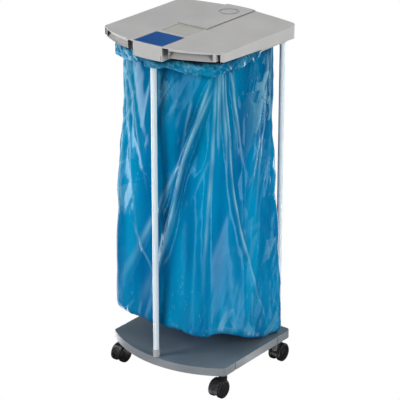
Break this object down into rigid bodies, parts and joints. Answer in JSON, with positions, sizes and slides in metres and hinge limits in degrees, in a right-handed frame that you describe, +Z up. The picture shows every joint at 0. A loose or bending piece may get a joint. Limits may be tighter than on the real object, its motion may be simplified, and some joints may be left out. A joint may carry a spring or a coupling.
{
  "type": "bin bag holder",
  "caption": "Wheeled stand that holds an open refuse sack on a ring between slim posts, with a hinged lid above and a curved base plate on castors.",
  "frame": {"origin": "bottom centre of the bounding box, on the floor under the middle of the stand", "axes": "+Z up, +X to the right, the curved front faces -Y and the lid hinge is at +Y"},
  "size_m": [0.396, 0.4079, 1],
  "materials": {
    "lid_grey": "fine satin",
    "frame_grey": "fine satin",
    "base_grey": "fine satin",
    "blue_film": "glossy translucent film",
    "marker_blue": "satin",
    "label_field": "satin",
    "post_metal": "satin anodised",
    "castor_black": "satin",
    "wheel_black": "satin",
    "steel": "plated"
  },
  "bodies": {
    "stand": {"base_plate": "base_grey", "post_front": "post_metal", "post_left": "post_metal", "post_right": "post_metal", "collar_front": "frame_grey", "collar_left": "frame_grey", "collar_right": "frame_grey", "bag_ring": "frame_grey", "bag": "blue_film", "hinge_pin": "steel", "castor_stem_fl": "steel", "castor_stem_fr": "steel", "castor_stem_bl": "steel", "castor_stem_br": "steel"},
    "lid": {"lid": "lid_grey", "colour_marker": "marker_blue", "label_plate": "label_field"},
    "castor_fl": {"castor_body_fl": "castor_black", "axle_fl": "steel", "brake_pin_fl": "steel"},
    "wheel_fl_outer": {"wheel_fl_outer": "wheel_black"},
    "wheel_fl_inner": {"wheel_fl_inner": "wheel_black"},
    "brake_lever_fl": {"brake_lever_fl": "castor_black"},
    "castor_fr": {"castor_body_fr": "castor_black", "axle_fr": "steel", "brake_pin_fr": "steel"},
    "wheel_fr_outer": {"wheel_fr_outer": "wheel_black"},
    "wheel_fr_inner": {"wheel_fr_inner": "wheel_black"},
    "brake_lever_fr": {"brake_lever_fr": "castor_black"},
    "castor_bl": {"castor_body_bl": "castor_black", "axle_bl": "steel"},
    "wheel_bl_outer": {"wheel_bl_outer": "wheel_black"},
    "wheel_bl_inner": {"wheel_bl_inner": "wheel_black"},
    "castor_br": {"castor_body_br": "castor_black", "axle_br": "steel"},
    "wheel_br_outer": {"wheel_br_outer": "wheel_black"},
    "wheel_br_inner": {"wheel_br_inner": "wheel_black"}
  },
  "joints": [
    {"name": "lid_hinge", "type": "hinge", "parent": "stand", "child": "lid", "pos_m": [0, 0.187, 0.965], "axis": [-1, 0, 0], "range_deg": [0, 95]},
    {"name": "swivel_fl", "type": "hinge", "parent": "stand", "child": "castor_fl", "pos_m": [-0.174, -0.102, 0.05], "axis": [0, 0, 1], "continuous": true},
    {"name": "spin_fl_outer", "type": "hinge", "parent": "castor_fl", "child": "wheel_fl_outer", "pos_m": [-0.174, -0.12, 0.025], "axis": [1, 0, 0], "continuous": true},
    {"name": "spin_fl_inner", "type": "hinge", "parent": "castor_fl", "child": "wheel_fl_inner", "pos_m": [-0.174, -0.12, 0.025], "axis": [1, 0, 0], "continuous": true},
    {"name": "brake_fl", "type": "hinge", "parent": "castor_fl", "child": "brake_lever_fl", "pos_m": [-0.174, -0.13685, 0.03914], "axis": [1, 0, 0], "range_deg": [0, 4]},
    {"name": "swivel_fr", "type": "hinge", "parent": "stand", "child": "castor_fr", "pos_m": [0.174, -0.102, 0.05], "axis": [0, 0, 1], "continuous": true},
    {"name": "spin_fr_outer", "type": "hinge", "parent": "castor_fr", "child": "wheel_fr_outer", "pos_m": [0.174, -0.12, 0.025], "axis": [1, 0, 0], "continuous": true},
    {"name": "spin_fr_inner", "type": "hinge", "parent": "castor_fr", "child": "wheel_fr_inner", "pos_m": [0.174, -0.12, 0.025], "axis": [1, 0, 0], "continuous": true},
    {"name": "brake_fr", "type": "hinge", "parent": "castor_fr", "child": "brake_lever_fr", "pos_m": [0.174, -0.13685, 0.03914], "axis": [1, 0, 0], "range_deg": [0, 4]},
    {"name": "swivel_bl", "type": "hinge", "parent": "stand", "child": "castor_bl", "pos_m": [-0.174, 0.142, 0.05], "axis": [0, 0, 1], "continuous": true},
    {"name": "spin_bl_outer", "type": "hinge", "parent": "castor_bl", "child": "wheel_bl_outer", "pos_m": [-0.174, 0.16, 0.025], "axis": [1, 0, 0], "continuous": true},
    {"name": "spin_bl_inner", "type": "hinge", "parent": "castor_bl", "child": "wheel_bl_inner", "pos_m": [-0.174, 0.16, 0.025], "axis": [1, 0, 0], "continuous": true},
    {"name": "swivel_br", "type": "hinge", "parent": "stand", "child": "castor_br", "pos_m": [0.174, 0.142, 0.05], "axis": [0, 0, 1], "continuous": true},
    {"name": "spin_br_outer", "type": "hinge", "parent": "castor_br", "child": "wheel_br_outer", "pos_m": [0.174, 0.16, 0.025], "axis": [1, 0, 0], "continuous": true},
    {"name": "spin_br_inner", "type": "hinge", "parent": "castor_br", "child": "wheel_br_inner", "pos_m": [0.174, 0.16, 0.025], "axis": [1, 0, 0], "continuous": true}
  ]
}
